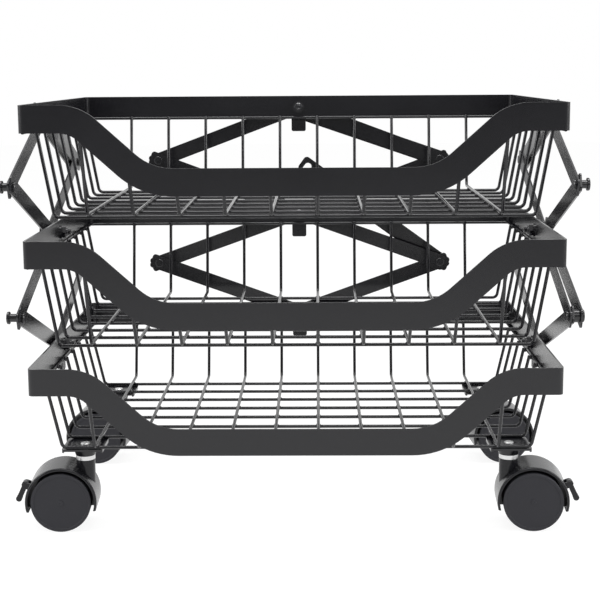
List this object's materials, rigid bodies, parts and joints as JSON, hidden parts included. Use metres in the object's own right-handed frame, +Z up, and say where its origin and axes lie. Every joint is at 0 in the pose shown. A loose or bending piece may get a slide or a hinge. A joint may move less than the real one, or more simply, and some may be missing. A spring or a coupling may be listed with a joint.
{
  "type": "folding rolling cart",
  "caption": "Folding rolling cart: stacked wire baskets with dipped strap-steel rims, joined by hinged diamond linkages with hooked locking straps, on swivel casters.",
  "frame": {"origin": "on the floor, under the middle of the whole cart", "axes": "+X to the right, along the long sides; +Y to the rear; +Z up"},
  "size_m": [0.5028, 0.3392, 0.376],
  "materials": {
    "black_coat": "matt black powder coat",
    "hood_plastic": "satin black moulding",
    "wheel_plastic": "dark grey moulding",
    "zinc": "bright zinc plate"
  },
  "bodies": {
    "bottom_basket": {"bottom_rim": "black_coat", "bottom_long_wires": "black_coat", "bottom_cross_wires": "black_coat", "bottom_pivot_tabs": "black_coat", "bottom_pivot_screws": "black_coat", "caster_plates": "black_coat", "caster_stems": "zinc"},
    "middle_basket": {"middle_rim": "black_coat", "middle_long_wires": "black_coat", "middle_cross_wires": "black_coat", "middle_pivot_tabs": "black_coat", "middle_pivot_screws": "black_coat"},
    "top_basket": {"top_rim": "black_coat", "top_long_wires": "black_coat", "top_cross_wires": "black_coat", "top_pivot_tabs": "black_coat", "top_pivot_screws": "black_coat"},
    "lower_left_bottom_rear_arm": {"lower_left_bottom_rear_arm": "black_coat"},
    "lower_left_top_rear_arm": {"lower_left_top_rear_arm": "black_coat"},
    "lower_left_bottom_front_arm": {"lower_left_bottom_front_arm": "black_coat"},
    "lower_left_top_front_arm": {"lower_left_top_front_arm": "black_coat"},
    "lower_left_lock_strap": {"lower_left_lock_strap": "black_coat"},
    "lower_right_bottom_front_arm": {"lower_right_bottom_front_arm": "black_coat"},
    "lower_right_top_front_arm": {"lower_right_top_front_arm": "black_coat"},
    "lower_right_bottom_rear_arm": {"lower_right_bottom_rear_arm": "black_coat"},
    "lower_right_top_rear_arm": {"lower_right_top_rear_arm": "black_coat"},
    "lower_right_lock_strap": {"lower_right_lock_strap": "black_coat"},
    "lower_rear_bottom_right_arm": {"lower_rear_bottom_right_arm": "black_coat"},
    "lower_rear_top_right_arm": {"lower_rear_top_right_arm": "black_coat"},
    "lower_rear_bottom_left_arm": {"lower_rear_bottom_left_arm": "black_coat"},
    "lower_rear_top_left_arm": {"lower_rear_top_left_arm": "black_coat"},
    "lower_rear_lock_strap": {"lower_rear_lock_strap": "black_coat"},
    "upper_left_bottom_rear_arm": {"upper_left_bottom_rear_arm": "black_coat"},
    "upper_left_top_rear_arm": {"upper_left_top_rear_arm": "black_coat"},
    "upper_left_bottom_front_arm": {"upper_left_bottom_front_arm": "black_coat"},
    "upper_left_top_front_arm": {"upper_left_top_front_arm": "black_coat"},
    "upper_left_lock_strap": {"upper_left_lock_strap": "black_coat"},
    "upper_right_bottom_front_arm": {"upper_right_bottom_front_arm": "black_coat"},
    "upper_right_top_front_arm": {"upper_right_top_front_arm": "black_coat"},
    "upper_right_bottom_rear_arm": {"upper_right_bottom_rear_arm": "black_coat"},
    "upper_right_top_rear_arm": {"upper_right_top_rear_arm": "black_coat"},
    "upper_right_lock_strap": {"upper_right_lock_strap": "black_coat"},
    "upper_rear_bottom_right_arm": {"upper_rear_bottom_right_arm": "black_coat"},
    "upper_rear_top_right_arm": {"upper_rear_top_right_arm": "black_coat"},
    "upper_rear_bottom_left_arm": {"upper_rear_bottom_left_arm": "black_coat"},
    "upper_rear_top_left_arm": {"upper_rear_top_left_arm": "black_coat"},
    "upper_rear_lock_strap": {"upper_rear_lock_strap": "black_coat"},
    "front_left_caster_hood": {"front_left_caster_hood": "hood_plastic"},
    "front_left_caster_wheels": {"front_left_caster_wheels": "wheel_plastic"},
    "front_left_brake_lever": {"front_left_brake_lever": "hood_plastic"},
    "front_right_caster_hood": {"front_right_caster_hood": "hood_plastic"},
    "front_right_caster_wheels": {"front_right_caster_wheels": "wheel_plastic"},
    "front_right_brake_lever": {"front_right_brake_lever": "hood_plastic"},
    "rear_left_caster_hood": {"rear_left_caster_hood": "hood_plastic"},
    "rear_left_caster_wheels": {"rear_left_caster_wheels": "wheel_plastic"},
    "rear_right_caster_hood": {"rear_right_caster_hood": "hood_plastic"},
    "rear_right_caster_wheels": {"rear_right_caster_wheels": "wheel_plastic"}
  },
  "joints": [
    {"name": "lower_fold", "type": "hinge", "parent": "bottom_basket", "child": "lower_rear_bottom_left_arm", "pos_m": [0, 0.15585, 0.14455], "axis": [0, 1, 0], "range_deg": [0, 37.27]},
    {"name": "lower_rear_left_knee", "type": "hinge", "parent": "lower_rear_bottom_left_arm", "child": "lower_rear_top_left_arm", "pos_m": [-0.15061, 0.15585, 0.19855], "axis": [0, 1, 0], "range_deg": [-74.55, 0]},
    {"name": "lower_rise", "type": "hinge", "parent": "lower_rear_top_left_arm", "child": "middle_basket", "pos_m": [0, 0.15585, 0.25255], "axis": [0, 1, 0], "range_deg": [0, 37.27]},
    {"name": "lower_left_bottom_rear_arm_pivot", "type": "hinge", "parent": "bottom_basket", "child": "lower_left_bottom_rear_arm", "pos_m": [-0.23, -0.00915, 0.14455], "axis": [-1, 0, 0], "range_deg": [-37.27, 0]},
    {"name": "lower_left_top_rear_arm_pivot", "type": "hinge", "parent": "middle_basket", "child": "lower_left_top_rear_arm", "pos_m": [-0.23, -0.00915, 0.25255], "axis": [-1, 0, 0], "range_deg": [0, 37.27]},
    {"name": "lower_left_bottom_front_arm_pivot", "type": "hinge", "parent": "bottom_basket", "child": "lower_left_bottom_front_arm", "pos_m": [-0.23, -0.00915, 0.14455], "axis": [-1, 0, 0], "range_deg": [0, 37.27]},
    {"name": "lower_left_top_front_arm_pivot", "type": "hinge", "parent": "middle_basket", "child": "lower_left_top_front_arm", "pos_m": [-0.23, -0.00915, 0.25255], "axis": [-1, 0, 0], "range_deg": [-37.27, 0]},
    {"name": "lower_left_strap_turn", "type": "hinge", "parent": "lower_left_top_rear_arm", "child": "lower_left_lock_strap", "pos_m": [-0.23, 0.14146, 0.19855], "axis": [-1, 0, 0], "range_deg": [-55.5, 0]},
    {"name": "lower_right_bottom_front_arm_pivot", "type": "hinge", "parent": "bottom_basket", "child": "lower_right_bottom_front_arm", "pos_m": [0.23, -0.00915, 0.14455], "axis": [1, 0, 0], "range_deg": [-37.27, 0]},
    {"name": "lower_right_top_front_arm_pivot", "type": "hinge", "parent": "middle_basket", "child": "lower_right_top_front_arm", "pos_m": [0.23, -0.00915, 0.25255], "axis": [1, 0, 0], "range_deg": [0, 37.27]},
    {"name": "lower_right_bottom_rear_arm_pivot", "type": "hinge", "parent": "bottom_basket", "child": "lower_right_bottom_rear_arm", "pos_m": [0.23, -0.00915, 0.14455], "axis": [1, 0, 0], "range_deg": [0, 37.27]},
    {"name": "lower_right_top_rear_arm_pivot", "type": "hinge", "parent": "middle_basket", "child": "lower_right_top_rear_arm", "pos_m": [0.23, -0.00915, 0.25255], "axis": [1, 0, 0], "range_deg": [-37.27, 0]},
    {"name": "lower_right_strap_turn", "type": "hinge", "parent": "lower_right_top_front_arm", "child": "lower_right_lock_strap", "pos_m": [0.23, -0.15976, 0.19855], "axis": [1, 0, 0], "range_deg": [-55.5, 0]},
    {"name": "lower_rear_bottom_right_arm_pivot", "type": "hinge", "parent": "bottom_basket", "child": "lower_rear_bottom_right_arm", "pos_m": [0, 0.15585, 0.14455], "axis": [0, 1, 0], "range_deg": [-37.27, 0]},
    {"name": "lower_rear_top_right_arm_pivot", "type": "hinge", "parent": "middle_basket", "child": "lower_rear_top_right_arm", "pos_m": [0, 0.15585, 0.25255], "axis": [0, 1, 0], "range_deg": [0, 37.27]},
    {"name": "lower_rear_strap_turn", "type": "hinge", "parent": "lower_rear_top_right_arm", "child": "lower_rear_lock_strap", "pos_m": [0.15061, 0.15585, 0.19855], "axis": [0, 1, 0], "range_deg": [-73.2, 0]},
    {"name": "upper_fold", "type": "hinge", "parent": "middle_basket", "child": "upper_rear_bottom_left_arm", "pos_m": [0, 0.15585, 0.25255], "axis": [0, 1, 0], "range_deg": [0, 36.51]},
    {"name": "upper_rear_left_knee", "type": "hinge", "parent": "upper_rear_bottom_left_arm", "child": "upper_rear_top_left_arm", "pos_m": [-0.14988, 0.15585, 0.30855], "axis": [0, 1, 0], "range_deg": [-73.03, 0]},
    {"name": "upper_rise", "type": "hinge", "parent": "upper_rear_top_left_arm", "child": "top_basket", "pos_m": [0, 0.15585, 0.36455], "axis": [0, 1, 0], "range_deg": [0, 36.51]},
    {"name": "upper_left_bottom_rear_arm_pivot", "type": "hinge", "parent": "middle_basket", "child": "upper_left_bottom_rear_arm", "pos_m": [-0.23, -0.00915, 0.25255], "axis": [-1, 0, 0], "range_deg": [-36.51, 0]},
    {"name": "upper_left_top_rear_arm_pivot", "type": "hinge", "parent": "top_basket", "child": "upper_left_top_rear_arm", "pos_m": [-0.23, -0.00915, 0.36455], "axis": [-1, 0, 0], "range_deg": [0, 36.51]},
    {"name": "upper_left_bottom_front_arm_pivot", "type": "hinge", "parent": "middle_basket", "child": "upper_left_bottom_front_arm", "pos_m": [-0.23, -0.00915, 0.25255], "axis": [-1, 0, 0], "range_deg": [0, 36.51]},
    {"name": "upper_left_top_front_arm_pivot", "type": "hinge", "parent": "top_basket", "child": "upper_left_top_front_arm", "pos_m": [-0.23, -0.00915, 0.36455], "axis": [-1, 0, 0], "range_deg": [-36.51, 0]},
    {"name": "upper_left_strap_turn", "type": "hinge", "parent": "upper_left_top_rear_arm", "child": "upper_left_lock_strap", "pos_m": [-0.23, 0.14073, 0.30855], "axis": [-1, 0, 0], "range_deg": [-55.5, 0]},
    {"name": "upper_right_bottom_front_arm_pivot", "type": "hinge", "parent": "middle_basket", "child": "upper_right_bottom_front_arm", "pos_m": [0.23, -0.00915, 0.25255], "axis": [1, 0, 0], "range_deg": [-36.51, 0]},
    {"name": "upper_right_top_front_arm_pivot", "type": "hinge", "parent": "top_basket", "child": "upper_right_top_front_arm", "pos_m": [0.23, -0.00915, 0.36455], "axis": [1, 0, 0], "range_deg": [0, 36.51]},
    {"name": "upper_right_bottom_rear_arm_pivot", "type": "hinge", "parent": "middle_basket", "child": "upper_right_bottom_rear_arm", "pos_m": [0.23, -0.00915, 0.25255], "axis": [1, 0, 0], "range_deg": [0, 36.51]},
    {"name": "upper_right_top_rear_arm_pivot", "type": "hinge", "parent": "top_basket", "child": "upper_right_top_rear_arm", "pos_m": [0.23, -0.00915, 0.36455], "axis": [1, 0, 0], "range_deg": [-36.51, 0]},
    {"name": "upper_right_strap_turn", "type": "hinge", "parent": "upper_right_top_rear_arm", "child": "upper_right_lock_strap", "pos_m": [0.23, 0.14073, 0.30855], "axis": [1, 0, 0], "range_deg": [0, 55.5]},
    {"name": "upper_rear_bottom_right_arm_pivot", "type": "hinge", "parent": "middle_basket", "child": "upper_rear_bottom_right_arm", "pos_m": [0, 0.15585, 0.25255], "axis": [0, 1, 0], "range_deg": [-36.51, 0]},
    {"name": "upper_rear_top_right_arm_pivot", "type": "hinge", "parent": "top_basket", "child": "upper_rear_top_right_arm", "pos_m": [0, 0.15585, 0.36455], "axis": [0, 1, 0], "range_deg": [0, 36.51]},
    {"name": "upper_rear_strap_turn", "type": "hinge", "parent": "upper_rear_top_right_arm", "child": "upper_rear_lock_strap", "pos_m": [0.14988, 0.15585, 0.30855], "axis": [0, 1, 0], "range_deg": [-55.5, 0]},
    {"name": "front_left_swivel", "type": "hinge", "parent": "bottom_basket", "child": "front_left_caster_hood", "pos_m": [-0.1885, -0.10935, 0.045], "axis": [0, 0, 1], "continuous": true},
    {"name": "front_left_roll", "type": "hinge", "parent": "front_left_caster_hood", "child": "front_left_caster_wheels", "pos_m": [-0.20946, -0.11063, 0.0265], "axis": [0.061, -0.9981, 0], "continuous": true},
    {"name": "front_left_brake", "type": "hinge", "parent": "front_left_caster_hood", "child": "front_left_brake_lever", "pos_m": [-0.24257, -0.11266, 0.03857], "axis": [-0.061, 0.9981, 0], "range_deg": [0, 35]},
    {"name": "front_right_swivel", "type": "hinge", "parent": "bottom_basket", "child": "front_right_caster_hood", "pos_m": [0.1885, -0.10935, 0.045], "axis": [0, 0, 1], "continuous": true},
    {"name": "front_right_roll", "type": "hinge", "parent": "front_right_caster_hood", "child": "front_right_caster_wheels", "pos_m": [0.20946, -0.11063, 0.0265], "axis": [0.061, 0.9981, 0], "continuous": true},
    {"name": "front_right_brake", "type": "hinge", "parent": "front_right_caster_hood", "child": "front_right_brake_lever", "pos_m": [0.24257, -0.11266, 0.03857], "axis": [-0.061, -0.9981, 0], "range_deg": [0, 35]},
    {"name": "rear_left_swivel", "type": "hinge", "parent": "bottom_basket", "child": "rear_left_caster_hood", "pos_m": [-0.1885, 0.09105, 0.045], "axis": [0, 0, 1], "continuous": true},
    {"name": "rear_left_roll", "type": "hinge", "parent": "rear_left_caster_hood", "child": "rear_left_caster_wheels", "pos_m": [-0.20942, 0.09288, 0.0265], "axis": [-0.0872, -0.9962, 0], "continuous": true},
    {"name": "rear_right_swivel", "type": "hinge", "parent": "bottom_basket", "child": "rear_right_caster_hood", "pos_m": [0.1885, 0.09105, 0.045], "axis": [0, 0, 1], "continuous": true},
    {"name": "rear_right_roll", "type": "hinge", "parent": "rear_right_caster_hood", "child": "rear_right_caster_wheels", "pos_m": [0.20942, 0.09288, 0.0265], "axis": [-0.0872, 0.9962, 0], "continuous": true}
  ],
  "couplings": [
    {"joint": "lower_rear_left_knee", "follows": "lower_fold", "ratio": -2},
    {"joint": "lower_rise", "follows": "lower_fold", "ratio": 1},
    {"joint": "lower_left_bottom_rear_arm_pivot", "follows": "lower_fold", "ratio": -1},
    {"joint": "lower_left_top_rear_arm_pivot", "follows": "lower_fold", "ratio": 1},
    {"joint": "lower_left_bottom_front_arm_pivot", "follows": "lower_fold", "ratio": 1},
    {"joint": "lower_left_top_front_arm_pivot", "follows": "lower_fold", "ratio": -1},
    {"joint": "lower_right_bottom_front_arm_pivot", "follows": "lower_fold", "ratio": -1},
    {"joint": "lower_right_top_front_arm_pivot", "follows": "lower_fold", "ratio": 1},
    {"joint": "lower_right_bottom_rear_arm_pivot", "follows": "lower_fold", "ratio": 1},
    {"joint": "lower_right_top_rear_arm_pivot", "follows": "lower_fold", "ratio": -1},
    {"joint": "lower_rear_bottom_right_arm_pivot", "follows": "lower_fold", "ratio": -1},
    {"joint": "lower_rear_top_right_arm_pivot", "follows": "lower_fold", "ratio": 1},
    {"joint": "upper_rear_left_knee", "follows": "upper_fold", "ratio": -2},
    {"joint": "upper_rise", "follows": "upper_fold", "ratio": 1},
    {"joint": "upper_left_bottom_rear_arm_pivot", "follows": "upper_fold", "ratio": -1},
    {"joint": "upper_left_top_rear_arm_pivot", "follows": "upper_fold", "ratio": 1},
    {"joint": "upper_left_bottom_front_arm_pivot", "follows": "upper_fold", "ratio": 1},
    {"joint": "upper_left_top_front_arm_pivot", "follows": "upper_fold", "ratio": -1},
    {"joint": "upper_right_bottom_front_arm_pivot", "follows": "upper_fold", "ratio": -1},
    {"joint": "upper_right_top_front_arm_pivot", "follows": "upper_fold", "ratio": 1},
    {"joint": "upper_right_bottom_rear_arm_pivot", "follows": "upper_fold", "ratio": 1},
    {"joint": "upper_right_top_rear_arm_pivot", "follows": "upper_fold", "ratio": -1},
    {"joint": "upper_rear_bottom_right_arm_pivot", "follows": "upper_fold", "ratio": -1},
    {"joint": "upper_rear_top_right_arm_pivot", "follows": "upper_fold", "ratio": 1}
  ]
}
